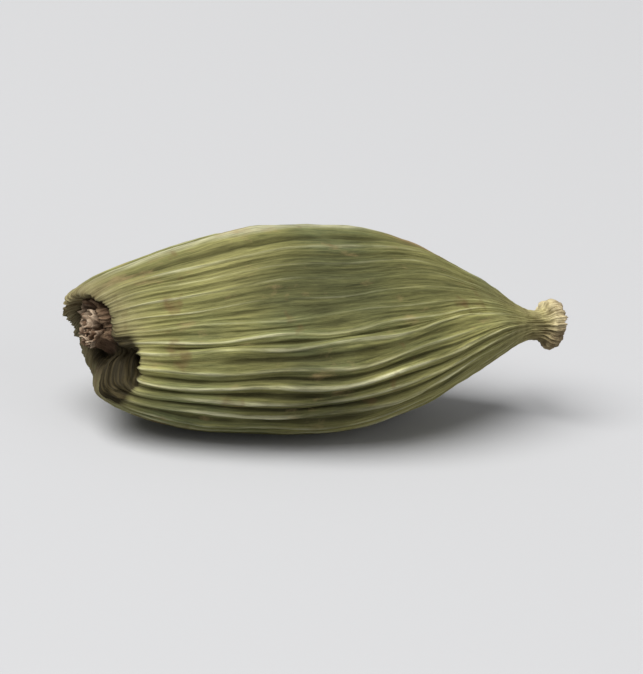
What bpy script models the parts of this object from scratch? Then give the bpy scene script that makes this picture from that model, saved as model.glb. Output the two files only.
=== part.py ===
# A dried green cardamom pod, lying on one of its three faces.
# Metres, +Z up. +X runs from the flower end to the stalk end, and the pod is looked at from -Y.
# Angles round the pod are 0 towards the viewer, 90 on top and 270 underneath.

import bmesh
import bpy
import math
import random

MM = 0.001

# Body: distance from the flower end and mean radius, joined by a smooth curve
BODY_OUTLINE = (
    (0.90 * MM, 2.44 * MM),
    (1.75 * MM, 2.86 * MM),
    (3.35 * MM, 3.32 * MM),
    (5.40 * MM, 3.70 * MM),
    (8.10 * MM, 3.93 * MM),
    (10.8 * MM, 3.80 * MM),
    (13.4 * MM, 3.20 * MM),
    (15.3 * MM, 2.36 * MM),
    (16.8 * MM, 1.58 * MM),
    (18.0 * MM, 0.88 * MM),
)
STEPS_PER_STRETCH = 3
WIDEST = 3.93 * MM

# Flower end: floor of the withered collar, its rim, the groove round it and the blunt shoulder
COLLAR_OUTLINE = (
    (0.86 * MM, 0.0),
    (0.74 * MM, 0.40 * MM),
    (0.30 * MM, 0.64 * MM),
    (0.22 * MM, 0.82 * MM),
    (0.42 * MM, 1.02 * MM),
    (0.90 * MM, 1.16 * MM),
    (0.94 * MM, 1.34 * MM),
    (0.52 * MM, 1.60 * MM),
    (0.44 * MM, 2.06 * MM),
)
COLLAR_RIM = 0.82 * MM
COLLAR_FOOT = 1.16 * MM
GROOVE_MIDDLE = 1.28 * MM
SHOULDER_RADIUS = 2.2 * MM
BLUNT_END_FADES = (0.7 * MM, 2.4 * MM)  # along the pod, where the shapes of the blunt end die out
COLLAR_LOBES = 5
COLLAR_RAGGED = 0.24 * MM  # how far the lobes of the collar rise and sink
COLLAR_PINCHED = 0.13  # share of its radius by which the collar is squeezed in and out
COLLAR_OFF_CENTRE = 0.72 * MM  # it sits above the middle of the blunt end
SHOULDER_LOBES = 0.20 * MM  # the three angles stand out past the faces at the blunt end
NOSE_REACH = 1.05 * MM  # the side on top and behind runs on past the rest of the blunt end
NOSE_DROOP = 0.55 * MM
NOSE_ANGLE = 138.0
NOSE_HALF_WIDTH = 86.0  # degrees
NOSE_INNER = (0.50 * MM, 1.75 * MM)  # radii between which it stands out from the collar
NOSE_FADES = (0.9 * MM, 5.6 * MM)
CUT_BACK = 0.50 * MM  # the far lower side of the blunt end stands back
CUT_BACK_ANGLE = 232.0
CUT_BACK_HALF_WIDTH = 80.0  # degrees
HOLLOW_DEPTH = 1.45 * MM  # a dent beside the collar, where the end is shrunken in
HOLLOW_ANGLE = 4.0
HOLLOW_HALF_WIDTH = 27.0  # degrees
HOLLOW_INNER = (1.15 * MM, 1.50 * MM)  # radii between which it falls away from the collar
HOLLOW_OUTER = (1.95 * MM, 2.85 * MM)  # and rises again to the side of the pod

# Stalk end: the neck, the flared cup and the floor of its hollow
CUP_OUTLINE = (
    (18.6 * MM, 0.58 * MM),
    (19.1 * MM, 0.55 * MM),
    (19.36 * MM, 0.66 * MM),
    (19.52 * MM, 0.90 * MM),
    (19.84 * MM, 0.93 * MM),
    (19.9 * MM, 0.70 * MM),
    (19.42 * MM, 0.46 * MM),
    (19.3 * MM, 0.0),
)
CUP_UNEVEN = 0.08 * MM
CUP_FLARE = (19.2 * MM, 19.8 * MM)
STALK_RAISED = 0.30 * MM
STALK_RISE = (9.5 * MM, 19.0 * MM)

# Section: three blunt angles, which turn slowly along the pod
RIDGE_ANGLES = (-14.0, 96.0, 206.0)
THREE_SIDED = 0.085  # share of the radius by which the angles stand out and the faces lie in
TWIST_PER_METRE = 1000.0  # degrees
TWIST_FROM = 8.7 * MM
STALK_TWIST = 18.0  # degrees more towards the stalk
STALK_TWIST_OVER = (9.0 * MM, 20.0 * MM)
NECK = (17.0 * MM, 18.8 * MM)  # where the three angles and the ribs die out into the round neck

# Ribs: narrow ridges 10 degrees apart, with a point on each crest and two in the groove beside it.
# The one on the top ridge is broad and takes the room of three.
RIB_STEP = 10.0
RIB_COUNT = 34
BROAD_RIB_REACH = 1.5  # rib steps
POINTS_PER_RIB = 3
RIB_HEIGHT = 0.25 * MM
RIB_SHARPNESS = 1.3
RIB_STRENGTHS = (0.2, 1.0)
# Strengths of the ribs that are seen best, from the top ridge down the side towards the viewer
FACING_STRENGTHS = (1.0, 0.45, 0.35, 0.45, 0.35, 0.55, 1.15, 0.85, 0.65, 1.1, 0.8, 1.1, 0.6, 0.8)
RIB_OFFSETS = (-2.4, 2.4)  # degrees by which each rib stands aside from its even place
RIB_WANDER = 1.2  # degrees, each rib by itself
RIB_WAVES = (4.6 * MM, 8.2 * MM)
RIB_SWELL = 8.7 * MM
RIB_SEED = 11

# A worn patch under the top ridge, where the ribs are weaker
PATCH_ANGLE = 50.0
PATCH_HALF_WIDTH = 36.0  # degrees
PATCH_CENTRE = 10.4 * MM
PATCH_HALF_LENGTH = 7.6 * MM
PATCH_WEAKER = 0.6

# The spot that the pod lies on
REST_DEPTH = 0.17 * MM
REST_CENTRE = 8.5 * MM
REST_HALF_LENGTH = 4.8 * MM
REST_HALF_WIDTH = 52.0  # degrees

HUSK_COLOUR = (0.19, 0.185, 0.075, 1.0)
HUSK_ROUGHNESS = 0.72


def smooth_step(low, high, value):
    share = min(max((value - low) / (high - low), 0.0), 1.0)
    return share * share * (3.0 - 2.0 * share)


def catmull_rom(a, b, c, d, t):
    bend = (2 * a - 5 * b + 4 * c - d) * t**2 + (3 * b - a - 3 * c + d) * t**3
    return 0.5 * (2 * b + (c - a) * t + bend)


def curve_through(points, steps):
    """Points of a smooth curve through the outline, the first and last included."""
    ends = [points[0], *points, points[-1]]
    found = []
    for stretch in zip(ends, ends[1:], ends[2:], ends[3:]):
        for step in range(steps):
            found.append(tuple(catmull_rom(*values, step / steps) for values in zip(*stretch)))
    return [*found, points[-1]]


def turned_body(name):
    """The outline turned about its axis by a Screw modifier, as a plain mesh."""
    outline = [*COLLAR_OUTLINE, *curve_through(BODY_OUTLINE, STEPS_PER_STRETCH), *CUP_OUTLINE]
    mesh = bpy.data.meshes.new(name)
    points = [(radius, 0.0, along) for along, radius in outline]
    mesh.from_pydata(points, [(i, i + 1) for i in range(len(points) - 1)], [])
    profile = bpy.data.objects.new(name + "_profile", mesh)
    bpy.context.scene.collection.objects.link(profile)
    screw = profile.modifiers.new("Turn", "SCREW")
    screw.axis = "Z"
    screw.steps = screw.render_steps = RIB_COUNT * POINTS_PER_RIB
    screw.use_merge_vertices = True
    screw.merge_threshold = 1e-6
    bpy.context.view_layer.update()
    evaluated = profile.evaluated_get(bpy.context.evaluated_depsgraph_get())
    turned = bpy.data.meshes.new_from_object(evaluated)
    bpy.data.objects.remove(profile)
    bpy.data.meshes.remove(mesh)
    return turned


def ridge_wave(angle):
    """1 on each blunt angle of the section and -1 in the middle of each face."""
    first, second, third = RIDGE_ANGLES
    angle = (angle - first) % 360.0 + first
    face = (first, second) if angle < second else (second, third) if angle < third else (third, first + 360.0)
    return math.cos(math.tau * (angle - face[0]) / (face[1] - face[0]))


def before_neck(along):
    return 1.0 - smooth_step(*NECK, along)


def rib_angle(place):
    """Angle round the pod at a place counted in ribs from the broad one on the top ridge."""
    steps = place
    for _ in range(40):
        steps = place + math.tanh(steps / BROAD_RIB_REACH)
    return RIDGE_ANGLES[1] + steps * RIB_STEP


class Ribs:
    """The long ribs: each has its own strength, and wanders, swells and fades along the pod by itself."""

    def __init__(self):
        draw = random.Random(RIB_SEED)
        self.strength = [draw.uniform(*RIB_STRENGTHS) for _ in range(RIB_COUNT)]
        self.shift = [draw.uniform(0.0, math.tau) for _ in range(RIB_COUNT)]
        self.wave = [draw.uniform(*RIB_WAVES) for _ in range(RIB_COUNT)]
        self.offset = [draw.uniform(*RIB_OFFSETS) for _ in range(RIB_COUNT)]
        for below, known in enumerate(FACING_STRENGTHS):
            self.strength[-below % RIB_COUNT] = known

    def wander(self, along, place):
        low = math.floor(place)
        share = smooth_step(0.0, 1.0, place - low)
        first, second = (
            RIB_WANDER * math.sin(math.tau * along / self.wave[rib] + self.shift[rib]) + self.offset[rib]
            for rib in (low % RIB_COUNT, (low + 1) % RIB_COUNT)
        )
        return first + share * (second - first)

    def height(self, along, place, angle, radius):
        rib = round(place) % RIB_COUNT
        crest = (0.5 + 0.5 * math.cos(math.tau * place)) ** RIB_SHARPNESS - 0.4
        swell = 0.8 + 0.2 * math.sin(math.tau * along / RIB_SWELL + self.shift[rib])
        near_ridge = 0.72 + 0.28 * ridge_wave(angle)
        ends = smooth_step(1.5 * MM, 2.7 * MM, radius + along) * before_neck(along)
        narrow = (radius / WIDEST) ** 0.7
        worn = 1.0 - PATCH_WEAKER * patch_share(along, angle)
        return RIB_HEIGHT * crest * self.strength[rib] * swell * near_ridge * ends * narrow * worn


def aside_from(angle, other):
    return abs((angle - other + 180.0) % 360.0 - 180.0)


def patch_share(along, angle):
    """1 in the middle of the worn patch, falling to 0 at its edge."""
    aside = aside_from(angle, PATCH_ANGLE) / PATCH_HALF_WIDTH
    off = abs(along - PATCH_CENTRE) / PATCH_HALF_LENGTH
    return 1.0 - smooth_step(0.4, 1.0, math.hypot(aside, off))


def rest_share(along, angle):
    """1 over the spot that the pod lies on, falling to 0 round it."""
    aside = aside_from(angle, 270.0) / REST_HALF_WIDTH
    off = abs(along - REST_CENTRE) / REST_HALF_LENGTH
    return 1.0 - smooth_step(0.55, 1.0, math.hypot(aside, off))


def share_near(angle, middle, half_width, inner=0.3):
    """1 at the middle angle, falling to 0 at the half width on both sides."""
    return 1.0 - smooth_step(inner, 1.0, aside_from(angle, middle) / half_width)


def nose_share(along, radius, angle):
    """1 at the tip of the nose, falling to 0 round it."""
    on_shoulder = smooth_step(*NOSE_INNER, radius)
    near_end = 1.0 - smooth_step(*NOSE_FADES, along)
    return share_near(angle, NOSE_ANGLE, NOSE_HALF_WIDTH, 0.2) * on_shoulder * near_end


def blunt_end(along, radius, angle):
    """How far the collar, the hollow, the nose and the shoulder of the flower end move along the pod."""
    near_end = 1.0 - smooth_step(*BLUNT_END_FADES, along)
    turn = math.radians(angle)
    on_rim = near_end * (1.0 - smooth_step(0.0, 0.42 * MM, abs(radius - COLLAR_RIM)))
    crumple = math.sin(COLLAR_LOBES * turn + 0.4) * (0.7 + 0.3 * math.sin(3 * turn + 1.0))
    on_shoulder = near_end * smooth_step(GROOVE_MIDDLE, SHOULDER_RADIUS, radius)
    lobe = 0.5 + 0.5 * ridge_wave(angle)
    over_hollow = share_near(angle, HOLLOW_ANGLE, HOLLOW_HALF_WIDTH)
    in_hollow = smooth_step(*HOLLOW_INNER, radius) * (1.0 - smooth_step(*HOLLOW_OUTER, radius + 0.1 * along))
    return (
        COLLAR_RAGGED * crumple * on_rim
        - SHOULDER_LOBES * lobe * (1.0 - over_hollow) * on_shoulder
        - NOSE_REACH * nose_share(along, radius, angle)
        + CUT_BACK * share_near(angle, CUT_BACK_ANGLE, CUT_BACK_HALF_WIDTH, 0.1) * on_shoulder
        + HOLLOW_DEPTH * over_hollow * in_hollow * (along < BLUNT_END_FADES[1])
    )


def pinched_collar(along, radius, angle):
    """Share by which the radius of the withered collar changes round it."""
    near_end = 1.0 - smooth_step(0.5 * MM, 1.0 * MM, along)
    near_rim = 1.0 - smooth_step(1.0 * MM, GROOVE_MIDDLE, radius)
    turn = math.radians(angle)
    pinch = math.sin(3 * turn + 0.5) + 0.5 * math.sin(7 * turn + 2.0)
    return 1.0 + COLLAR_PINCHED * near_end * near_rim * pinch


def uneven_cup(along, angle):
    """The rim of the stalk cup isn't level where the stalk broke off."""
    return CUP_UNEVEN * smooth_step(*CUP_FLARE, along) * math.sin(2 * math.radians(angle) + 0.9)


def middle_line(along, radius):
    """How far the middle of the pod lies above its axis, at the collar and towards the stalk."""
    inside = 1.0 - smooth_step(COLLAR_FOOT, SHOULDER_RADIUS, radius)
    near_end = 1.0 - smooth_step(*BLUNT_END_FADES, along)
    return COLLAR_OFF_CENTRE * inside * near_end + STALK_RAISED * smooth_step(*STALK_RISE, along)


def shape_husk(mesh):
    """Moves the turned points out to the three-sided, ribbed and slightly twisted husk."""
    ribs = Ribs()
    for vertex in mesh.vertices:
        across, up, along = vertex.co
        radius = math.hypot(across, up)
        place = math.atan2(up, across) / math.tau * RIB_COUNT
        angle = rib_angle(place)
        body = smooth_step(1.3 * MM, 2.4 * MM, radius + 0.6 * along) * before_neck(along)
        section = 1.0 + THREE_SIDED * body * ridge_wave(angle)
        twist = TWIST_PER_METRE * (along - TWIST_FROM) + STALK_TWIST * smooth_step(*STALK_TWIST_OVER, along)
        turned = angle + body * ribs.wander(along, place) + twist
        relief = ribs.height(along, place, angle, radius) * (1.0 - rest_share(along, turned))
        out = radius * section * pinched_collar(along, radius, angle) + relief
        out -= NOSE_DROOP * nose_share(along, radius, angle)
        turn = math.radians(turned)
        vertex.co = (
            along + blunt_end(along, radius, angle) + uneven_cup(along, angle),
            -out * math.cos(turn),
            out * math.sin(turn) + middle_line(along, radius),
        )


def settle(mesh):
    """Presses the lowest points flat and puts the origin on that level, under the middle of the pod."""
    floor = min(vertex.co.z for vertex in mesh.vertices) + REST_DEPTH
    for vertex in mesh.vertices:
        vertex.co.z = max(vertex.co.z, floor)
    middle = [
        (min(v.co[axis] for v in mesh.vertices) + max(v.co[axis] for v in mesh.vertices)) / 2
        for axis in (0, 1)
    ]
    for vertex in mesh.vertices:
        vertex.co.x -= middle[0]
        vertex.co.y -= middle[1]
        vertex.co.z -= floor


def face_outwards(mesh):
    shape = bmesh.new()
    shape.from_mesh(mesh)
    bmesh.ops.recalc_face_normals(shape, faces=shape.faces)
    bmesh.ops.triangulate(shape, faces=shape.faces)
    shape.to_mesh(mesh)
    shape.free()


def husk_material():
    material = bpy.data.materials.new("husk")
    material.use_nodes = True
    shader = material.node_tree.nodes["Principled BSDF"]
    shader.inputs["Base Color"].default_value = HUSK_COLOUR
    shader.inputs["Roughness"].default_value = HUSK_ROUGHNESS
    shader.inputs["Metallic"].default_value = 0.0
    return material


def main():
    for old in list(bpy.data.objects):
        bpy.data.objects.remove(old)
    parts = bpy.data.collections.new("Green cardamom pod")
    bpy.context.scene.collection.children.link(parts)
    mesh = turned_body("pod")
    shape_husk(mesh)
    settle(mesh)
    face_outwards(mesh)
    mesh.materials.append(husk_material())
    mesh.shade_smooth()
    pod = bpy.data.objects.new("pod", mesh)
    parts.objects.link(pod)


main()
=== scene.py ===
# Green cardamom pod: the husk with its ribs, the withered flower end and the broken stalk cup.
# Shapes are worked out in millimetres and made metres when a mesh is written.
import bmesh
import bpy
import math
import random
import numpy as np
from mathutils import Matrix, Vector


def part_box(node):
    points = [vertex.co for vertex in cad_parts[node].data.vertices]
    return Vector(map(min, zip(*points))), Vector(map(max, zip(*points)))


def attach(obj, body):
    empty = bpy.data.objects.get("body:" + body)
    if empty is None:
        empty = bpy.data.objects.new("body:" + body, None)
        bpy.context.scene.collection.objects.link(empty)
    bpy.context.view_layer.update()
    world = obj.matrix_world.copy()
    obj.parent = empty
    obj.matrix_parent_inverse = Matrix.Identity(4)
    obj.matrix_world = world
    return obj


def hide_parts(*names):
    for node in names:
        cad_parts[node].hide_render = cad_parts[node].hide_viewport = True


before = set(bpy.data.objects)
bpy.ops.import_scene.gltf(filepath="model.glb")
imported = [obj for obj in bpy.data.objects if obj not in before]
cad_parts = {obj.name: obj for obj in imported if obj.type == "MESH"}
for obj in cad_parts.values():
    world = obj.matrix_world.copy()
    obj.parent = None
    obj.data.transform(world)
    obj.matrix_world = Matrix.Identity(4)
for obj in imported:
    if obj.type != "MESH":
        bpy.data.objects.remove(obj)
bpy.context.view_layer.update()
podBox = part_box("pod")
mm = 0.001


# Small helpers, most of them for node trees

def addNode(tree, kind, values=None, **settings):
    made = tree.nodes.new(kind)
    for name, value in settings.items():
        setattr(made, name, value)
    for socket, value in (values or {}).items():
        if isinstance(value, bpy.types.NodeSocket):
            tree.links.new(value, made.inputs[socket])
        else:
            made.inputs[socket].default_value = value
    return made


def maths(tree, operation, first, second=0.0, third=None):
    values = {0: first, 1: second}
    if third is not None:
        values[2] = third
    return addNode(tree, "ShaderNodeMath", values, operation=operation).outputs[0]


def vectorMaths(tree, operation, first, second=(1.0, 1.0, 1.0)):
    return addNode(tree, "ShaderNodeVectorMath", {0: first, 1: second}, operation=operation).outputs[0]


def scaledVector(tree, vector, scale):
    made = addNode(tree, "ShaderNodeVectorMath", {0: vector, "Scale": scale}, operation="SCALE")
    return made.outputs[0]


def combined(tree, x, y, z=0.0):
    return addNode(tree, "ShaderNodeCombineXYZ", {0: x, 1: y, 2: z}).outputs[0]


def noiseAt(tree, vector, scale, detail=2.0, roughness=0.5, output="Fac"):
    values = {"Vector": vector, "Scale": scale, "Detail": detail, "Roughness": roughness}
    return addNode(tree, "ShaderNodeTexNoise", values).outputs[output]


def grainNoise(tree, grain, stretch, scale, detail=2.0, roughness=0.5):
    # Noise in streaks along the pod: the smaller stretch is, the longer they are
    return noiseAt(tree, vectorMaths(tree, "MULTIPLY", grain, (1.0, 1.0, stretch)), scale, detail, roughness)


def crushed(tree, scale, detail, reach):
    # A push for each point, in whichever direction the noise gives there
    here = addNode(tree, "GeometryNodeInputPosition").outputs[0]
    push = vectorMaths(tree, "SUBTRACT", noiseAt(tree, here, scale, detail, output="Color"), (0.5, 0.5, 0.5))
    return scaledVector(tree, push, reach)


def mapped(tree, value, low, high, toLow=0.0, toHigh=1.0):
    values = {"Value": value, "From Min": low, "From Max": high, "To Min": toLow, "To Max": toHigh}
    return addNode(tree, "ShaderNodeMapRange", values).outputs[0]


def colourMix(tree, factor, first, second):
    # A colour that is given in numbers lacks the fourth one that the socket wants
    low, high = (colour if isinstance(colour, bpy.types.NodeSocket) else (*colour, 1.0)
                 for colour in (first, second))
    values = {0: factor, 6: low, 7: high}
    return addNode(tree, "ShaderNodeMix", values, data_type="RGBA").outputs[2]


def ramp(tree, value, stops):
    made = addNode(tree, "ShaderNodeValToRGB", {"Fac": value})
    elements = made.color_ramp.elements
    while len(elements) < len(stops):
        elements.new(0.5)
    for element, (place, colour) in zip(elements, stops):
        element.position = place
        element.color = (*colour, 1.0)
    return made.outputs["Color"]


def openTree(name, sockets):
    # A tree of geometry nodes with its geometry in and out and the named inputs, each with its kind
    tree = bpy.data.node_groups.new(name, "GeometryNodeTree")
    tree.interface.new_socket("Geometry", in_out="OUTPUT", socket_type="NodeSocketGeometry")
    tree.interface.new_socket("Geometry", in_out="INPUT", socket_type="NodeSocketGeometry")
    for title, kind in sockets:
        tree.interface.new_socket(title, in_out="INPUT", socket_type="NodeSocket" + kind)
    return tree, addNode(tree, "NodeGroupInput").outputs


def endTree(tree, geometry, material):
    real = addNode(tree, "GeometryNodeRealizeInstances", {"Geometry": geometry}).outputs[0]
    painted = addNode(tree, "GeometryNodeSetMaterial", {"Geometry": real, "Material": material}).outputs[0]
    addNode(tree, "NodeGroupOutput", {"Geometry": painted})


def newMaterial(name, roughness, specular):
    material = bpy.data.materials.new(name)
    material.use_nodes = True
    shader = material.node_tree.nodes["Principled BSDF"]
    shader.inputs["Roughness"].default_value = roughness
    shader.inputs["Specular IOR Level"].default_value = specular
    return material, material.node_tree, shader


def addBump(tree, shader, height, strength, distance):
    bump = addNode(tree, "ShaderNodeBump", {"Strength": strength, "Distance": distance, "Height": height})
    tree.links.new(bump.outputs[0], shader.inputs["Normal"])


def smoothStep(low, high, value):
    share = np.clip((value - low) / (high - low), 0.0, 1.0)
    return share * share * (3.0 - 2.0 * share)


# Husk: the outline turned about the pod's length, made three-sided, twisted and ribbed

podForm = {
    "collarOutline": [(0.86, 0.0), (0.74, 0.40), (0.30, 0.64), (0.22, 0.82), (0.42, 1.02),
                      (0.90, 1.16), (0.94, 1.34), (0.52, 1.60), (0.44, 2.06)],
    "bodyOutline": [(0.90, 2.44), (1.75, 2.86), (3.35, 3.32), (5.40, 3.70), (8.10, 3.93),
                    (10.8, 3.80), (13.4, 3.20), (15.3, 2.36), (16.8, 1.58), (18.0, 0.88)],
    "cupOutline": [(18.6, 0.58), (19.1, 0.55), (19.36, 0.66), (19.52, 0.90), (19.84, 0.93),
                   (19.9, 0.70), (19.42, 0.46), (19.3, 0.0)],
    "stepsOnCollar": 6,
    "stepsOnBody": 8,
    "stepsOnCup": 4,
    "ridgeAngles": (-14.0, 96.0, 206.0),  # 0 faces the viewer, 90 is on top
    "threeSided": 0.085,
    "twistPerMm": 1.0,
    "twistFrom": 8.7,
    "stalkTwist": 18.0,
    "stalkTwistOver": (9.0, 20.0),
    "bodyStarts": (1.3, 2.4),
    "neck": (17.0, 18.8),
    "bluntEndFades": (0.7, 2.4),
    "collarRim": 0.82,
    "rimHalfWidth": 0.42,
    "collarFoot": 1.16,
    "grooveMiddle": 1.28,
    "shoulderRadius": 2.2,
    "collarLobes": 5,
    "collarRagged": 0.24,
    "collarPinched": 0.13,
    "pinchFades": (0.5, 1.0),
    "pinchEdge": 1.0,
    "collarOffCentre": 0.72,
    "shoulderLobes": 0.20,
    "noseReach": 1.05,  # the side on top and behind runs on past the rest of the blunt end
    "noseAngle": 138.0,
    "noseHalfWidth": 86.0,
    "noseInner": (0.5, 1.75),
    "noseFades": (0.9, 5.6),
    "noseDroop": 0.55,
    "cutBack": 0.50,  # and the far lower side stands back
    "cutBackAngle": 232.0,
    "cutBackHalfWidth": 80.0,
    "hollowDepth": 1.45,
    "hollowAngle": 4.0,
    "hollowHalfWidth": 27.0,
    "shadeAngle": -2.0,  # painted shade in and round the hollow
    "shadeHalfWidth": 44.0,
    "hollowInner": (1.15, 1.50),
    "hollowOuter": (1.95, 2.85),
    "collarEdge": (1.05, 1.3),  # radii between which the painted shade and light of the flower end begin and fade
    "grooveEdge": (1.4, 1.75),
    "lipEdge": (2.45, 2.85),
    "cupUneven": 0.08,
    "cupFlare": (19.2, 19.8),
    "stalkRaised": 0.30,
    "stalkRise": (9.5, 19.0),
    # Angle, half width, place along, half length, and how much lighter or darker the husk is there
    "paintedLightAndTonePatches": [
        # Painted shade and painted light on the near side: the top and the lower front darker, the front
        # towards the stalk and at the lip lighter
        (54.0, 34.0, 7.9, 5.2, -0.32),
        (86.0, 34.0, 9.5, 7.0, -0.24),
        (95.0, 30.0, 3.6, 4.0, -0.08),
        (85.0, 36.0, 1.9, 2.2, -0.24),
        (9.0, 21.0, 6.8, 4.0, -0.42),
        (-14.0, 24.0, 7.6, 5.4, -0.46),
        (6.0, 24.0, 11.8, 3.4, -0.24),
        (-34.0, 26.0, 9.0, 7.0, -0.34),
        (16.0, 36.0, 17.0, 4.6, 0.66),
        (8.0, 24.0, 1.4, 1.2, 0.40),
        (31.0, 13.0, 6.2, 3.4, 0.17),
        (-4.0, 4.5, 11.3, 1.5, 0.7),  # three short pale scuffs, on two ribs
        (-4.0, 3.5, 6.4, 1.1, 0.6),
        (16.0, 4.0, 4.7, 1.0, 0.4),
        # The husk's own tone on the far side
        (160.0, 38.0, 7.0, 5.5, -0.24),
        (205.0, 34.0, 13.5, 5.0, 0.16),
        (245.0, 40.0, 8.0, 7.0, -0.20),
        (140.0, 30.0, 14.0, 4.5, -0.16),
    ],
    "tanAngle": 97.0,  # a rust-coloured streak on the top ridge towards the stalk
    "tanHalfWidth": 13.0,
    "tanCentre": 14.6,
    "tanHalfLength": 3.4,
    "wornPatch": (50.0, 36.0, 10.4, 7.6),  # angle, half width, place along and half length
    "restPatch": (270.0, 52.0, 8.5, 4.8),
    "restDepth": 0.17,
}

ribForm = {
    "step": 10.0,  # degrees from rib to rib
    "count": 34,
    "broadReach": 1.5,  # the rib on the top ridge takes the room of three
    "pointsPerRib": 18,
    "strengths": (0.2, 1.0),
    "facingStrengths": (1.0, 0.45, 0.35, 0.45, 0.35, 0.55, 1.15, 0.85, 0.65, 1.1, 0.8, 1.1, 0.6, 0.8),
    "grooveSharpness": 5.0,
    "grooveDepth": 0.12,
    "wander": 1.2,
    "offsets": (-2.4, 2.4),  # degrees by which each rib stands aside from its even place
    "waves": (4.6, 8.2),
    "swell": 8.7,
    "widest": 3.93,
    "ribsStart": (1.5, 2.7),
    "taper": 0.7,
    "patchWeaker": 0.6,
    "stalkFade": (10.5, 15.5),
    "stalkWeaker": 0.45,
    "seed": 11,
    "height": 0.19,
    "sunk": 0.3,  # the share of a rib's height that lies below the smooth husk
    "sharpness": 2.6,
    "stalkFibreHeight": 0.10,
    "fineHeight": 0.06,
    "finePerRib": 3.0,
    "wrinkleHeight": 0.09,
    "dentDepth": 0.30,
    "crumple": 0.38,
    "cupFray": 0.12,
    "ribPatches": 0.38,  # how fast a rib and a groove change from strong to faint
    "groovePatches": 0.55,
    "threadDrift": 2.4,
    "threadSharpness": 1.6,
    "wrinkleScale": 3.0,
    "hollowWrinkles": 5.0,
    "dentScale": 0.26,
    "strandScale": 1.9,
    "crushScale": 1900.0,  # per metre, and the scales above per millimetre
}


def catmullRom(a, b, c, d, t):
    bend = (2 * a - 5 * b + 4 * c - d) * t**2 + (3 * b - a - 3 * c + d) * t**3
    return 0.5 * (2 * b + (c - a) * t + bend)


def outlineRows():
    # One smooth curve through all outlines, with its zone: up to 1 on the collar, 2 on the body, 3 on the cup
    form = podForm
    lists = [form["collarOutline"], form["bodyOutline"], form["cupOutline"]]
    counts = [form["stepsOnCollar"], form["stepsOnBody"], form["stepsOnCup"]]
    points, zones, steps = [], [], []
    for number, (outline, count) in enumerate(zip(lists, counts)):
        for index, point in enumerate(outline):
            points.append(np.array(point))
            zones.append(number + index / len(outline))
            steps.append(count)
    zones[-1] = 3.0
    ends = [points[0], *points, points[-1]]
    rows = []
    for i in range(len(points) - 1):
        for step in range(steps[i]):
            t = step / steps[i]
            along, radius = catmullRom(*ends[i:i + 4], t)
            rows.append((along, max(radius, 0.0), zones[i] + (zones[i + 1] - zones[i]) * t))
    rows.append((*points[-1], zones[-1]))
    return np.array(rows)


def ridgeWave(angle):
    # 1 on each blunt angle of the section and -1 in the middle of each face
    first, second, third = podForm["ridgeAngles"]
    angle = (angle - first) % 360.0 + first
    low = np.where(angle < second, first, np.where(angle < third, second, third))
    high = np.where(angle < second, second, np.where(angle < third, third, first + 360.0))
    return np.cos(math.tau * (angle - low) / (high - low))


def asideFrom(angle, other):
    return abs((angle - other + 180.0) % 360.0 - 180.0)


def shareNear(angle, name, inner=0.3):
    # 1 at the named angle, falling to 0 at its half width
    aside = asideFrom(angle, podForm[name + "Angle"]) / podForm[name + "HalfWidth"]
    return 1.0 - smoothStep(inner, 1.0, aside)


def noseShare(along, radius, angle):
    form = podForm
    onShoulder = smoothStep(*form["noseInner"], radius)
    return shareNear(angle, "nose", 0.2) * onShoulder * (1.0 - smoothStep(*form["noseFades"], along))


def bluntEnd(along, radius, angle):
    # How far the collar, the hollow, the nose and the lobed shoulder of the flower end move along the pod
    form = podForm
    nearEnd = 1.0 - smoothStep(*form["bluntEndFades"], along)
    turn = np.radians(angle)
    onRim = nearEnd * (1.0 - smoothStep(0.0, form["rimHalfWidth"], abs(radius - form["collarRim"])))
    crumple = np.sin(form["collarLobes"] * turn + 0.4) * (0.7 + 0.3 * np.sin(3 * turn + 1.0))
    onShoulder = nearEnd * smoothStep(form["grooveMiddle"], form["shoulderRadius"], radius)
    lobe = 0.5 + 0.5 * ridgeWave(angle)
    overHollow = shareNear(angle, "hollow")
    inHollow = smoothStep(*form["hollowInner"], radius)
    inHollow = inHollow * (1.0 - smoothStep(*form["hollowOuter"], radius + 0.1 * along))
    inHollow = inHollow * (along < form["bluntEndFades"][1])
    return (form["collarRagged"] * crumple * onRim
            - form["shoulderLobes"] * lobe * (1.0 - overHollow) * onShoulder
            - form["noseReach"] * noseShare(along, radius, angle)
            + form["cutBack"] * shareNear(angle, "cutBack", 0.1) * onShoulder
            + form["hollowDepth"] * overHollow * inHollow)


def pinchedCollar(along, radius, angle):
    nearEnd = 1.0 - smoothStep(*podForm["pinchFades"], along)
    nearRim = 1.0 - smoothStep(podForm["pinchEdge"], podForm["grooveMiddle"], radius)
    turn = np.radians(angle)
    pinch = np.sin(3 * turn + 0.5) + 0.5 * np.sin(7 * turn + 2.0)
    return 1.0 + podForm["collarPinched"] * nearEnd * nearRim * pinch


def middleLine(along, radius):
    form = podForm
    inside = 1.0 - smoothStep(form["collarFoot"], form["shoulderRadius"], radius)
    nearEnd = 1.0 - smoothStep(*form["bluntEndFades"], along)
    atStalk = smoothStep(*form["stalkRise"], along)
    return form["collarOffCentre"] * inside * nearEnd + form["stalkRaised"] * atStalk


def ribAngle(place):
    # Angle round the pod at a place counted in ribs from the broad one on the top ridge, found step by step
    steps = place
    for _ in range(40):
        steps = place + np.tanh(steps / ribForm["broadReach"])
    return podForm["ridgeAngles"][1] + steps * ribForm["step"]


def inOval(along, angle, oval, inner):
    # 1 in the middle of an oval on the husk, falling to 0 at its edge
    middle, halfWidth, centre, halfLength = oval
    off = np.hypot(asideFrom(angle, middle) / halfWidth, (along - centre) / halfLength)
    return 1.0 - smoothStep(inner, 1.0, off)


def patchShare(along, angle):
    return inOval(along, angle, podForm["wornPatch"], 0.4)


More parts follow.
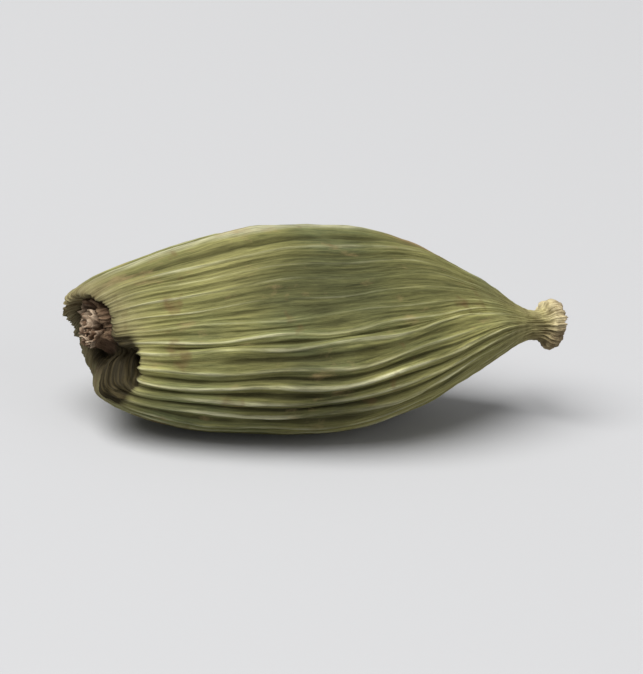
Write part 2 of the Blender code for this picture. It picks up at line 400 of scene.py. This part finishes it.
def ribValues(along, place, angle, radius):
    # For each point, how far its rib wanders, and how strong the rib and the groove beside it are
    form = ribForm
    count = form["count"]
    draw = random.Random(form["seed"])
    strength, shift, wave, offset = (np.array([draw.uniform(*limits) for _ in range(count)])
                                     for limits in (form["strengths"], (0.0, math.tau), form["waves"],
                                                    form["offsets"]))
    for below, known in enumerate(form["facingStrengths"]):  # from the top ridge down the near side
        strength[-below % count] = known
    low = np.floor(place).astype(int)
    share = smoothStep(0.0, 1.0, place - low)
    first, second = (form["wander"] * np.sin(math.tau * along / wave[rib] + shift[rib]) + offset[rib]
                     for rib in (low % count, (low + 1) % count))
    wander = first + share * (second - first)
    rib = np.round(place).astype(int) % count
    swell = 0.8 + 0.2 * np.sin(math.tau * along / form["swell"] + shift[rib])
    level = (0.72 + 0.28 * ridgeWave(angle)) * smoothStep(*form["ribsStart"], radius + along)
    level = level * (1.0 - smoothStep(*podForm["neck"], along)) * (radius / form["widest"]) ** form["taper"]
    level = level * (1.0 - form["patchWeaker"] * patchShare(along, angle))
    level = level * (1.0 - form["stalkWeaker"] * smoothStep(*form["stalkFade"], along))
    groove = (strength[low % count] + strength[(low + 1) % count]) / 2
    return wander, strength[rib] * swell * level, groove * level


def surfaceNormals(co):
    alongStep = np.gradient(co, axis=0)
    aroundStep = np.roll(co, -1, axis=1) - np.roll(co, 1, axis=1)
    normal = np.cross(alongStep, aroundStep)
    return normal / np.maximum(np.linalg.norm(normal, axis=-1, keepdims=True), 1e-9)


def toneShare(along, angle):
    # 1 where the husk keeps its own tone, less in the darker patches and more in the lighter ones, which on
    # the near side are painted shade and painted light
    tone = np.ones_like(angle)
    for *oval, change in podForm["paintedLightAndTonePatches"]:
        tone = tone + change * inOval(along, angle, oval, 0.1)
    return tone


def tanShare(along, angle):
    off = abs(along - podForm["tanCentre"]) / podForm["tanHalfLength"]
    return shareNear(angle, "tan") * smoothStep(0.0, 1.0, 1.0 - off)


def huskPoints():
    # The smooth husk without its ribs, and for each point what the ribs and the colours need
    form = podForm
    rows = outlineRows()
    columns = ribForm["count"] * ribForm["pointsPerRib"]
    place = (np.arange(columns) - columns // 2) / ribForm["pointsPerRib"]
    along, place = np.meshgrid(rows[:, 0], place, indexing="ij")
    angle = ribAngle(place)
    radius = np.repeat(rows[:, 1:2], columns, axis=1)
    arc = np.concatenate([[0.0], np.cumsum(np.hypot(np.diff(rows[:, 0]), np.diff(rows[:, 1])))])
    # The section is three-sided, and the ribs wander and twist round it
    body = smoothStep(*form["bodyStarts"], radius + 0.6 * along) * (1.0 - smoothStep(*form["neck"], along))
    section = 1.0 + form["threeSided"] * body * ridgeWave(angle)
    wander, strength, groove = ribValues(along, place, angle, radius)
    twist = form["twistPerMm"] * (along - form["twistFrom"])
    twist = twist + form["stalkTwist"] * smoothStep(*form["stalkTwistOver"], along)
    turned = angle + body * wander + twist
    out = radius * section * pinchedCollar(along, radius, angle)
    out = out - form["noseDroop"] * noseShare(along, radius, angle)
    turn, unturned = np.radians(turned), np.radians(angle)
    uneven = form["cupUneven"] * smoothStep(*form["cupFlare"], along) * np.sin(2 * unturned + 0.9)
    co = np.stack([along + bluntEnd(along, radius, angle) + uneven, -out * np.cos(turn),
                   out * np.sin(turn) + middleLine(along, radius)], axis=-1)
    # No ribs where the pod rests
    quiet = 1.0 - inOval(along, turned, form["restPatch"], 0.55)
    # Painted shade at the flower end: a dark ring in the groove round the collar and dark in the hollow, less
    # of it under the nose, where the husk is painted light
    inEnd = (along < form["bluntEndFades"][1]) * smoothStep(*form["collarEdge"], radius)
    underNose = inEnd * shareNear(angle, "nose", 0.2)
    inGroove = inEnd * (1.0 - smoothStep(*form["grooveEdge"], radius)) * (1.0 - 0.8 * underNose)
    inHollow = inEnd * (1.0 - smoothStep(*form["lipEdge"], radius + 0.1 * along))
    inHollow = inHollow * shareNear(angle, "shade") ** 0.5
    return {
        "co": co,
        "outward": surfaceNormals(co),
        "grain": np.stack([ribForm["widest"] * np.cos(unturned), ribForm["widest"] * np.sin(unturned),
                           np.repeat(arc[:, None], columns, axis=1)], axis=-1),
        "ribPlace": place,
        "ribStrength": strength * quiet,
        "grooveStrength": groove * quiet,
        "quiet": quiet,
        "bodyShare": body,
        "patch": patchShare(along, angle),
        "hollow": np.maximum(0.7 * inGroove, inHollow),
        "underNose": underNose,
        "tan": tanShare(along, angle),
        "tone": toneShare(along, angle),
        "zone": np.repeat(rows[:, 2:3], columns, axis=1),
    }


def closedGrid(name, points):
    # Rings of quads, with the first and the last ring drawn together into one point each
    rings, columns = points["ribPlace"].shape
    keep = [0] + list(range(columns, (rings - 1) * columns)) + [(rings - 1) * columns]
    mesh = bpy.data.meshes.new(name)
    ring = np.arange(columns)
    after = np.roll(ring, -1)
    faces = []
    for row in range(rings - 3):
        low, high = 1 + row * columns, 1 + (row + 1) * columns
        faces += np.stack([low + ring, high + ring, high + after, low + after], axis=1).tolist()
    last = len(keep) - 1
    faces += [(0, 1 + i, 1 + j) for i, j in zip(ring.tolist(), after.tolist())]
    top = last - columns
    faces += [(last, top + j, top + i) for i, j in zip(ring.tolist(), after.tolist())]
    co = points["co"].reshape(-1, 3)[keep]
    mesh.from_pydata((co * mm).tolist(), [], faces)
    for key, value in points.items():
        if key == "co":
            continue
        isVector = value.ndim == 3
        made = mesh.attributes.new(key, "FLOAT_VECTOR" if isVector else "FLOAT", "POINT")
        flat = value.reshape(-1, 3)[keep] if isVector else value.reshape(-1)[keep]
        made.data.foreach_set("vector" if isVector else "value", flat.astype(np.float32).ravel())
    return mesh


def namedAttribute(tree, name, kind="FLOAT"):
    made = addNode(tree, "GeometryNodeInputNamedAttribute", {"Name": name}, data_type=kind)
    return made.outputs["Attribute"]


def raisedRibsTree():
    # Ribs, the finer threads between them, wrinkles and dents, raised from the smooth husk
    form = ribForm
    sizes = ("Rib height", "Rib sharpness", "Groove depth", "Groove sharpness", "Fine height", "Fine per rib",
             "Stalk fibre height", "Wrinkle height", "Dent depth", "Crumple", "Cup fray", "Seed")
    tree, given = openTree("raisedRibs", [(name, "Float") for name in sizes] + [("Material", "Material")])
    place, quiet, zone = (namedAttribute(tree, name) for name in ("ribPlace", "quiet", "zone"))
    seed = combined(tree, given["Seed"], given["Seed"], given["Seed"])
    grain = vectorMaths(tree, "ADD", namedAttribute(tree, "grain", "FLOAT_VECTOR"), seed)
    along = addNode(tree, "ShaderNodeSeparateXYZ", {0: grain}).outputs["Z"]

    def crestOf(where, sharpness):
        wave = maths(tree, "COSINE", maths(tree, "MULTIPLY", where, math.tau))
        return maths(tree, "POWER", maths(tree, "MULTIPLY_ADD", wave, 0.5, 0.5), sharpness)

    def inStretches(rounding, spacing, scale, *limits):
        # Strong in some stretches along a rib and faint in others, each rib apart from the next in the noise
        number = maths(tree, "MULTIPLY", maths(tree, rounding, place), spacing)
        return mapped(tree, noiseAt(tree, combined(tree, number, along), scale), *limits)

    crest = crestOf(place, given["Rib sharpness"])
    strength = maths(tree, "MULTIPLY", namedAttribute(tree, "ribStrength"),
                     inStretches("ROUND", 7.3, form["ribPatches"], 0.30, 0.68, 0.40, 1.25))
    total = maths(tree, "MULTIPLY", maths(tree, "SUBTRACT", crest, form["sunk"]), strength)
    total = maths(tree, "MULTIPLY", total, given["Rib height"])
    # Narrow grooves between the ribs
    between = crestOf(maths(tree, "ADD", place, 0.5), given["Groove sharpness"])
    trough = maths(tree, "MULTIPLY", between, namedAttribute(tree, "grooveStrength"))
    trough = maths(tree, "MULTIPLY", trough,
                   inStretches("FLOOR", 5.1, form["groovePatches"], 0.32, 0.62, 0.35, 1.3))
    total = maths(tree, "SUBTRACT", total, maths(tree, "MULTIPLY", trough, given["Groove depth"]))
    # Fine threads, which wander and fade
    drift = maths(tree, "SUBTRACT", grainNoise(tree, grain, 0.14, 1.3), 0.5)
    finePlace = maths(tree, "MULTIPLY", place, given["Fine per rib"])
    finePlace = maths(tree, "MULTIPLY_ADD", drift, form["threadDrift"], finePlace)
    fade = mapped(tree, grainNoise(tree, grain, 0.07, 4.6, 3.0, 0.6), 0.34, 0.62)
    onPatch = maths(tree, "MULTIPLY_ADD", namedAttribute(tree, "patch"), -0.5, 1.0)
    fade = maths(tree, "MULTIPLY", fade, onPatch)
    thread = maths(tree, "MULTIPLY", crestOf(finePlace, form["threadSharpness"]), fade)
    fine = maths(tree, "MULTIPLY", thread, given["Fine height"])
    # Wrinkles across the grooves and broad shrunken dents
    wrinkle = maths(tree, "SUBTRACT", grainNoise(tree, grain, 0.45, form["wrinkleScale"], 3.0, 0.6), 0.5)
    wrinkle = maths(tree, "MULTIPLY", wrinkle, given["Wrinkle height"])
    inHollow = maths(tree, "MULTIPLY_ADD", namedAttribute(tree, "hollow"), form["hollowWrinkles"], 1.0)
    wrinkle = maths(tree, "MULTIPLY", wrinkle, inHollow)
    dent = maths(tree, "SUBTRACT", grainNoise(tree, grain, 0.7, form["dentScale"], 1.0), 0.5)
    dent = maths(tree, "MULTIPLY", dent, given["Dent depth"])
    small = maths(tree, "ADD", maths(tree, "ADD", fine, wrinkle), dent)
    small = maths(tree, "MULTIPLY", small, namedAttribute(tree, "bodyShare"))
    total = maths(tree, "ADD", total, maths(tree, "MULTIPLY", small, quiet))
    # Strands over the neck, the cup and the face of the flower end
    onEnds = maths(tree, "MAXIMUM", mapped(tree, zone, 1.85, 2.05), mapped(tree, zone, 1.04, 0.84))
    strand = grainNoise(tree, grain, 0.35, form["strandScale"], 4.0, 0.68)
    strand = maths(tree, "MULTIPLY", mapped(tree, strand, 0.32, 0.68, -1.0, 1.0), onEnds)
    total = maths(tree, "MULTIPLY_ADD", strand, given["Stalk fibre height"], total)
    outward = namedAttribute(tree, "outward", "FLOAT_VECTOR")
    offset = scaledVector(tree, outward, maths(tree, "MULTIPLY", total, mm))
    # The withered collar is crumpled every way, and the cup frayed
    onCollar = maths(tree, "MULTIPLY", mapped(tree, zone, 0.72, 0.45), given["Crumple"])
    onCup = maths(tree, "MULTIPLY", mapped(tree, zone, 2.10, 2.35), given["Cup fray"])
    reach = maths(tree, "MULTIPLY", maths(tree, "ADD", onCollar, onCup), mm)
    offset = vectorMaths(tree, "ADD", offset, crushed(tree, form["crushScale"], 4.0, reach))
    values = {"Geometry": given["Geometry"], "Offset": offset}
    made = addNode(tree, "GeometryNodeSetPosition", values).outputs[0]
    # The relief is kept for the colours
    seen = maths(tree, "MULTIPLY", crest, maths(tree, "MULTIPLY_ADD", strength, 0.6, 0.4))
    for name, value in (("crest", seen), ("thread", thread), ("trough", trough)):
        values = {"Geometry": made, "Name": name, "Value": value}
        made = addNode(tree, "GeometryNodeStoreNamedAttribute", values, data_type="FLOAT",
                       domain="POINT").outputs[0]
    endTree(tree, made, given["Material"])
    return tree


def runTree(name, mesh, tree, values, thickness=0.0):
    # Runs the tree on the mesh, thickened first where it is a sheet, and returns the result as a plain object
    carrier = bpy.data.objects.new(name + "Carrier", mesh)
    bpy.context.scene.collection.objects.link(carrier)
    if thickness:
        solid = carrier.modifiers.new("thickness", "SOLIDIFY")
        solid.thickness = thickness * mm
        solid.offset = 0.0
    modifier = carrier.modifiers.new(name, "NODES")
    modifier.node_group = tree
    for item in tree.interface.items_tree:
        if item.in_out == "INPUT" and item.name in values:
            modifier[item.identifier] = values[item.name]
    bpy.context.view_layer.update()
    evaluated = carrier.evaluated_get(bpy.context.evaluated_depsgraph_get())
    result = bpy.data.meshes.new_from_object(evaluated)
    result.name = name
    bpy.data.objects.remove(carrier)
    made = bpy.data.objects.new(name, result)
    bpy.context.scene.collection.objects.link(made)
    return made


def settleOnFloor(mesh):
    # Same place as the CAD pod: level with its stalk end, centred across it and pressed flat where it lies
    low, high = podBox
    co = np.empty(len(mesh.vertices) * 3, dtype=np.float32)
    mesh.vertices.foreach_get("co", co)
    co = co.reshape(-1, 3)
    start = float(high[0] - co[:, 0].max())
    co[:, 0] += start
    co[:, 1] += (low[1] + high[1]) / 2 - (co[:, 1].min() + co[:, 1].max()) / 2
    shift = co[:, 2].min() + podForm["restDepth"] * mm
    co[:, 2] = np.maximum(co[:, 2] - shift, 0.0)
    mesh.vertices.foreach_set("co", co.ravel())
    mesh.update()
    return start, -float(shift)


def makeHusk(material):
    form = ribForm
    mesh = closedGrid("huskSurface", huskPoints())
    values = {"Rib height": form["height"], "Rib sharpness": form["sharpness"],
              "Groove depth": form["grooveDepth"], "Groove sharpness": form["grooveSharpness"],
              "Fine height": form["fineHeight"], "Fine per rib": form["finePerRib"],
              "Stalk fibre height": form["stalkFibreHeight"], "Wrinkle height": form["wrinkleHeight"],
              "Dent depth": form["dentDepth"], "Crumple": form["crumple"], "Cup fray": form["cupFray"],
              "Seed": float(form["seed"]), "Material": material}
    husk = runTree("husk", mesh, raisedRibsTree(), values)
    start, axisHeight = settleOnFloor(husk.data)
    husk.data.shade_smooth()
    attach(husk, "root")
    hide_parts("pod")
    print("husk:", len(husk.data.polygons), "faces")
    return start, axisHeight


# Husk colours: pale ribs, grooves and the hollow painted dark as shade, tan ends

huskLook = {
    "paintedGrooveShade": (0.048, 0.044, 0.012),
    "oliveLight": (0.176, 0.172, 0.060),
    "yellowGreen": (0.236, 0.221, 0.081),
    "greyGreen": (0.124, 0.138, 0.060),
    "ribStraw": (0.405, 0.392, 0.238),
    "wornOlive": (0.088, 0.088, 0.034),
    "brownStain": (0.115, 0.062, 0.026),
    "tanStain": (0.270, 0.195, 0.090),
    "rust": (0.260, 0.150, 0.070),
    "paintedHollowShade": (0.014, 0.010, 0.003),
    "paintedHollowShadeFibre": (0.052, 0.039, 0.016),
    "fibreAndShadeBrown": (0.085, 0.050, 0.020),
    "paintedLightUnderNose": (0.290, 0.245, 0.135),
    "endSpeckle": (0.075, 0.042, 0.024),
    "roughness": 0.70,
    "specular": 0.12,
    "bumpStrength": 0.55,
    "bumpDistance": 0.00006,
    # Noise that follows the fibres, per millimetre, and noise all over, per metre
    "fibreScale": 7.0,
    "fineScale": 13.0,
    "stainScale": 1.1,
    "toothScale": 16.0,
    "broadScale": 190.0,
    "speckScale": 620.0,
    "endSpeckleScale": 2600.0,
    "poreScale": 5200.0,
}


endLook = [  # place along the outline from flower end to stalk cup, colour, how much it covers the husk's own
    # Painted shade: near black in the pit in the middle of the collar
    (0.00, (0.030, 0.014, 0.009), 1.0),
    (0.06, (0.060, 0.028, 0.018), 1.0),
    (0.11, (0.205, 0.140, 0.085), 1.0),
    (0.15, (0.115, 0.072, 0.042), 1.0),
    # Painted shade: dark in the groove round the collar and on the shoulder beside it
    (0.185, (0.070, 0.042, 0.026), 1.0),
    (0.215, (0.034, 0.024, 0.013), 0.95),
    (0.26, (0.050, 0.042, 0.024), 0.90),
    (0.295, (0.110, 0.095, 0.052), 0.75),
    (0.325, (0.230, 0.200, 0.105), 0.55),
    (0.37, (0.240, 0.210, 0.110), 0.0),
    (0.56, (0.270, 0.240, 0.105), 0.0),
    (0.655, (0.350, 0.310, 0.145), 0.65),
    (0.715, (0.440, 0.390, 0.190), 0.90),
    (0.79, (0.600, 0.520, 0.300), 1.0),
    (0.84, (0.540, 0.440, 0.270), 1.0),
    (0.885, (0.200, 0.090, 0.045), 1.0),
    # Painted shade: near black inside the cup's hole
    (0.92, (0.050, 0.016, 0.008), 1.0),
    (1.00, (0.022, 0.008, 0.005), 1.0),
]


def huskMaterial():
    look = huskLook
    material, tree, shader = newMaterial("huskSkin", look["roughness"], look["specular"])

    def attribute(name, output="Fac"):
        return addNode(tree, "ShaderNodeAttribute", attribute_name=name).outputs[output]

    def mixedIn(share, tone, name):
        return colourMix(tree, share, tone, look[name])

    here = addNode(tree, "ShaderNodeTexCoord").outputs["Object"]
    grain, zone = attribute("grain", "Vector"), attribute("zone")
    # Broad changes of tone over the pod, and coarse fibres that run with the ribs
    stops = [(0.34, look["greyGreen"]), (0.50, look["oliveLight"]), (0.66, look["yellowGreen"])]
    tone = ramp(tree, noiseAt(tree, here, look["broadScale"]), stops)
    fibre = grainNoise(tree, grain, 0.06, look["fibreScale"], 4.0, 0.65)
    tone = mixedIn(mapped(tree, fibre, 0.42, 0.70, 0.0, 0.7), tone, "yellowGreen")
    # The worn patch is dull, and the grooves are painted dark, painted shade in the creases between the ribs
    worn = maths(tree, "MULTIPLY", attribute("patch"), mapped(tree, fibre, 0.65, 0.35, 0.45, 0.90))
    tone = mixedIn(worn, tone, "wornOlive")
    lift = maths(tree, "MULTIPLY_ADD", attribute("thread"), 0.28, attribute("crest"))
    tone = mixedIn(mapped(tree, lift, 0.30, 0.0, 0.0, 0.30), tone, "paintedGrooveShade")
    tone = mixedIn(mapped(tree, attribute("trough"), 0.04, 0.50, 0.0, 0.74), tone, "paintedGrooveShade")
    # Narrow pale crests, bright in some stretches only
    bright = mapped(tree, grainNoise(tree, grain, 0.30, 1.5), 0.34, 0.58, 0.20, 1.0)
    tone = mixedIn(maths(tree, "MULTIPLY", mapped(tree, lift, 0.42, 0.86), bright), tone, "ribStraw")
    # Fine fibres, light and dark, and the patches of tone, which on the near side are painted shade and
    # painted light
    fine = grainNoise(tree, grain, 0.05, look["fineScale"], 4.0, 0.72)
    tone = scaledVector(tree, tone, mapped(tree, fine, 0.32, 0.68, 0.55, 1.45))
    tone = scaledVector(tree, tone, attribute("tone"))
    # One rusty streak, and tan and brown stains, small and few
    rusty = maths(tree, "MULTIPLY", attribute("tan"), mapped(tree, fibre, 0.35, 0.60, 0.15, 0.85))
    tone = mixedIn(rusty, tone, "rust")
    stain = grainNoise(tree, grain, 0.45, look["stainScale"], 5.0, 0.62)
    tone = mixedIn(mapped(tree, stain, 0.60, 0.72, 0.0, 0.55), tone, "tanStain")
    speck = noiseAt(tree, here, look["speckScale"], 3.0, 0.6)
    tone = mixedIn(mapped(tree, speck, 0.62, 0.74, 0.0, 0.65), tone, "brownStain")
    # The flower end, the neck and the cup, with painted shade in the pit of the collar, in its groove and in
    # the cup's hole
    place = maths(tree, "DIVIDE", zone, 3.0)
    endColour = ramp(tree, place, [(at, colour) for at, colour, _ in endLook])
    endShare = ramp(tree, place, [(at, (share,) * 3) for at, _, share in endLook])
    speckle = noiseAt(tree, here, look["endSpeckleScale"], 3.0, 0.6)
    endColour = mixedIn(mapped(tree, speckle, 0.40, 0.68, 0.0, 0.6), endColour, "endSpeckle")
    # Painted light: under the nose the husk gets a pale colour, to look lit in the shade of its overhang,
    # with dark brown fibres in it
    paintedNoseLight = colourMix(tree, mapped(tree, fine, 0.35, 0.65), look["fibreAndShadeBrown"], look["paintedLightUnderNose"])
    underNose = maths(tree, "MULTIPLY", attribute("underNose"), 0.85)
    endColour = colourMix(tree, underNose, endColour, paintedNoseLight)
    tone = colourMix(tree, endShare, tone, endColour)
    # Painted shade: browner on the lower side of the neck and cup, and dark in the groove and the hollow of
    # the flower end
    under = mapped(tree, addNode(tree, "ShaderNodeSeparateXYZ", {0: grain}).outputs["Y"], 0.3, -2.2)
    under = maths(tree, "MULTIPLY", under, mapped(tree, zone, 1.95, 2.15))
    tone = mixedIn(maths(tree, "MULTIPLY", under, 0.60), tone, "fibreAndShadeBrown")
    shade = maths(tree, "ADD", mapped(tree, fibre, 0.35, 0.65, -0.12, 0.12), attribute("hollow"))
    inside = colourMix(tree, mapped(tree, fine, 0.46, 0.70), look["paintedHollowShade"], look["paintedHollowShadeFibre"])
    tone = colourMix(tree, mapped(tree, shade, 0.08, 0.50, 0.0, 0.97), tone, inside)
    tree.links.new(tone, shader.inputs["Base Color"])
    # Fine grain in the surface
    tooth = grainNoise(tree, grain, 0.12, look["toothScale"], 4.0, 0.6)
    tooth = maths(tree, "MULTIPLY_ADD", noiseAt(tree, here, look["poreScale"]), 0.5, tooth)
    addBump(tree, shader, tooth, look["bumpStrength"], look["bumpDistance"])
    return material


# Withered papery scales, all that is left of the flower, packed in the collar

flakeForm = {
    "count": 19,
    "packRadius": 0.52,
    "length": 0.86,
    "width": 0.42,
    "thickness": 0.05,
    "curl": -0.10,
    "hollowed": -0.12,
    "pleat": 0.035,
    "pleats": 3.0,
    "ragged": 0.07,
    "leanInside": -0.25,
    "leanOutside": 0.50,
    "leanLoose": 0.30,
    "sizes": (0.65, 1.10),
    "crumple": 0.20,
    "rootAt": 0.70,  # along the pod, where the middle of the pack is rooted
    "raised": 0.46,
    "seed": 5,
    "rootBrown": (0.030, 0.016, 0.009),
    "mauveBrown": (0.155, 0.104, 0.066),
    "redBrown": (0.105, 0.058, 0.031),
    "papery": (0.370, 0.285, 0.200),
    "roughness": 0.75,
    "specular": 0.15,
    "veinDistance": 0.00004,
    "veinStrength": 0.6,
    "veinScale": 9000.0,
    "patchScale": 1500.0,
    "crushScale": 2100.0,
    "spiralTurn": 137.5,  # degrees from one scale to the next
    "tilt": 0.35,  # at most, at random, in radians
    "spin": 0.7,
}


def flakeMesh():
    # One scale: a narrow pleated sheet with a torn tip, standing on the origin along Z and curling towards +X
    form = flakeForm
    mesh = bpy.data.meshes.new("flake")
    shape = bmesh.new()
    bmesh.ops.create_grid(shape, x_segments=12, y_segments=14, size=1.0)
    tipLayer = shape.verts.layers.float.new("tip")
    for vertex in shape.verts:
        across, up = vertex.co.x, 0.5 + 0.5 * vertex.co.y
        torn = math.sin(5.0 * across + 1.0) + 0.7 * math.sin(13.0 * across + 2.0)
        width = form["width"] * (0.45 + 1.5 * up - 1.15 * up**2)
        height = form["length"] * up * (1.0 + form["ragged"] * torn * up**3)
        bow = form["curl"] * up**2 + form["hollowed"] * across**2 * (0.4 + up)
        bow += form["pleat"] * math.sin(form["pleats"] * math.pi * across + 0.6) * up
        vertex[tipLayer] = up
        vertex.co = (bow * mm, across * width * mm, height * mm)
    shape.to_mesh(mesh)
    shape.free()
    mesh.shade_smooth()
    return mesh


def packedScalesTree():
    # Scales on a spiral, upright in the middle and leaning out at the edge
    form = flakeForm
    sizes = ("Pack radius", "Lean inside", "Lean outside", "Lean loose", "Least size", "Most size", "Crumple")
    tree, given = openTree("packedScales", [("Count", "Int")] + [(name, "Float") for name in sizes]
                           + [("Place", "Vector"), ("Seed", "Int"), ("Material", "Material")])

    def drawn(low, high, seedShift):
        made = addNode(tree, "FunctionNodeRandomValue", data_type="FLOAT")
        sockets = [socket for socket in made.inputs if socket.enabled]
        seed = maths(tree, "ADD", given["Seed"], seedShift)
        for socket, value in zip((sockets[0], sockets[1], sockets[-1]), (low, high, seed)):
            if isinstance(value, bpy.types.NodeSocket):
                tree.links.new(value, socket)
            else:
                socket.default_value = value
        return next(socket for socket in made.outputs if socket.enabled)

    number = addNode(tree, "GeometryNodeInputIndex").outputs[0]
    share = maths(tree, "SQRT", maths(tree, "DIVIDE", maths(tree, "ADD", number, 0.5), given["Count"]))
    turn = maths(tree, "MULTIPLY", number, math.radians(form["spiralTurn"]))
    away = maths(tree, "MULTIPLY", share, given["Pack radius"])
    spot = combined(tree, maths(tree, "MULTIPLY", away, maths(tree, "COSINE", turn)),
                    maths(tree, "MULTIPLY", away, maths(tree, "SINE", turn)))
    roots = addNode(tree, "GeometryNodePoints", {"Count": given["Count"], "Position": spot}).outputs[0]
    lean = mapped(tree, share, 0.0, 1.0, given["Lean inside"], given["Lean outside"])
    loose = maths(tree, "MULTIPLY", drawn(-1.0, 1.0, 2.0), given["Lean loose"])
    spun = maths(tree, "ADD", turn, drawn(-form["spin"], form["spin"], 1.0))
    angles = combined(tree, drawn(-form["tilt"], form["tilt"], 3.0), maths(tree, "ADD", lean, loose), spun)
    values = {"Points": roots, "Instance": given["Geometry"],
              "Rotation": addNode(tree, "FunctionNodeEulerToRotation", {0: angles}).outputs[0],
              "Scale": drawn(given["Least size"], given["Most size"], 4.0)}
    scales = addNode(tree, "GeometryNodeInstanceOnPoints", values).outputs[0]
    # Made real here, so that each scale is crumpled its own way, and turned to point out of the flower end
    real = addNode(tree, "GeometryNodeRealizeInstances", {"Geometry": scales}).outputs[0]
    values = {"Geometry": real, "Translation": given["Place"], "Rotation": (0.0, -math.pi / 2, 0.0)}
    stood = addNode(tree, "GeometryNodeTransform", values).outputs[0]
    reach = maths(tree, "MULTIPLY", given["Crumple"], mm)
    values = {"Geometry": stood, "Offset": crushed(tree, form["crushScale"], 3.0, reach)}
    endTree(tree, addNode(tree, "GeometryNodeSetPosition", values).outputs[0], given["Material"])
    return tree


def flakeMaterial():
    form = flakeForm
    material, tree, shader = newMaterial("driedFlower", form["roughness"], form["specular"])
    here = addNode(tree, "ShaderNodeTexCoord").outputs["Object"]
    tip = addNode(tree, "ShaderNodeAttribute", attribute_name="tip").outputs["Fac"]
    patchy = noiseAt(tree, here, form["patchScale"], 3.0, 0.6)
    tone = colourMix(tree, mapped(tree, patchy, 0.42, 0.62), form["mauveBrown"], form["redBrown"])
    tone = colourMix(tree, mapped(tree, tip, 0.45, 0.0), tone, form["rootBrown"])
    edge = maths(tree, "MULTIPLY", mapped(tree, tip, 0.62, 1.0), mapped(tree, patchy, 0.60, 0.44, 0.15, 1.0))
    tone = colourMix(tree, edge, tone, form["papery"])
    veinGrain = vectorMaths(tree, "MULTIPLY", here, (0.3, 1.0, 1.0))
    veins = noiseAt(tree, veinGrain, form["veinScale"], 3.0, 0.6)
    tone = scaledVector(tree, tone, mapped(tree, veins, 0.35, 0.65, 0.65, 1.35))
    tree.links.new(tone, shader.inputs["Base Color"])
    addBump(tree, shader, veins, form["veinStrength"], form["veinDistance"])
    return material


def makeFlakes(start, axisHeight):
    form = flakeForm
    middle = (podBox[0][1] + podBox[1][1]) / 2
    root = (start + form["rootAt"] * mm, middle, axisHeight + form["raised"] * mm)
    least, most = form["sizes"]
    values = {"Count": form["count"], "Pack radius": form["packRadius"] * mm,
              "Lean inside": form["leanInside"], "Lean outside": form["leanOutside"],
              "Lean loose": form["leanLoose"], "Least size": least, "Most size": most,
              "Crumple": form["crumple"], "Place": root, "Seed": form["seed"], "Material": flakeMaterial()}
    flakes = runTree("collarScales", flakeMesh(), packedScalesTree(), values, form["thickness"])
    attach(flakes, "root")
    print("collar scales:", len(flakes.data.polygons), "faces")


# Floor, light and camera

studio = {
    "floorSide": 4.0,
    "floorColour": (0.43, 0.43, 0.435),
    "floorRoughness": 0.9,
    "floorSpecular": 0.1,
    "worldColour": (0.97, 0.98, 1.0),
    "worldStrength": 0.30,
    "keyFrom": (-0.50, -0.15, 0.85),
    "keyDistance": 1.2,
    "keySize": 1.2,
    "keyPower": 28.5,
    "fillFrom": (0.45, -0.80, 0.45),
    "fillDistance": 1.4,
    "fillSize": 1.2,
    "fillPower": 3.0,
    "cameraTurn": -26.0,
    "cameraHeight": 20.0,
    "cameraRoll": 8.5,
    "cameraDistance": 0.145,
    "lens": 200.0,
    "clipStart": 0.005,
    "lookAt": (0.0, 0.0, 0.0034),
}


def makeFloor():
    half = studio["floorSide"] / 2
    corners = [(-half, -half, 0), (half, -half, 0), (half, half, 0), (-half, half, 0)]
    mesh = bpy.data.meshes.new("floor")
    mesh.from_pydata(corners, [], [(0, 1, 2, 3)])
    material, _, shader = newMaterial("paper", studio["floorRoughness"], studio["floorSpecular"])
    shader.inputs["Base Color"].default_value = (*studio["floorColour"], 1.0)
    mesh.materials.append(material)
    floor = bpy.data.objects.new("floor", mesh)
    bpy.context.scene.collection.objects.link(floor)


def aimAt(made, target):
    made.rotation_euler = (Vector(target) - made.location).to_track_quat("-Z", "Y").to_euler()


def softLight(name, direction, distance, size, power):
    data = bpy.data.lights.new(name, "AREA")
    data.shape = "DISK"
    data.size = size
    data.energy = power
    light = bpy.data.objects.new(name, data)
    light.location = Vector(direction).normalized() * distance
    aimAt(light, studio["lookAt"])
    bpy.context.scene.collection.objects.link(light)


def makeStudio():
    scene = bpy.context.scene
    scene.view_settings.view_transform = "Standard"
    world = bpy.data.worlds.new("soft room")
    world.use_nodes = True
    background = world.node_tree.nodes["Background"]
    background.inputs["Color"].default_value = (*studio["worldColour"], 1.0)
    background.inputs["Strength"].default_value = studio["worldStrength"]
    scene.world = world
    softLight("key", studio["keyFrom"], studio["keyDistance"], studio["keySize"], studio["keyPower"])
    softLight("fill", studio["fillFrom"], studio["fillDistance"], studio["fillSize"], studio["fillPower"])
    turn, height = math.radians(studio["cameraTurn"]), math.radians(studio["cameraHeight"])
    back = Vector((math.sin(turn) * math.cos(height), -math.cos(turn) * math.cos(height), math.sin(height)))
    data = bpy.data.cameras.new("camera")
    data.lens = studio["lens"]
    data.clip_start = studio["clipStart"]
    camera = bpy.data.objects.new("camera", data)
    camera.location = Vector(studio["lookAt"]) + back * studio["cameraDistance"]
    aimAt(camera, studio["lookAt"])
    camera.rotation_euler.rotate_axis("Z", math.radians(studio["cameraRoll"]))
    scene.collection.objects.link(camera)
    scene.camera = camera


makeStudio()
makeFloor()
print("studio made")
start, axisHeight = makeHusk(huskMaterial())
makeFlakes(start, axisHeight)
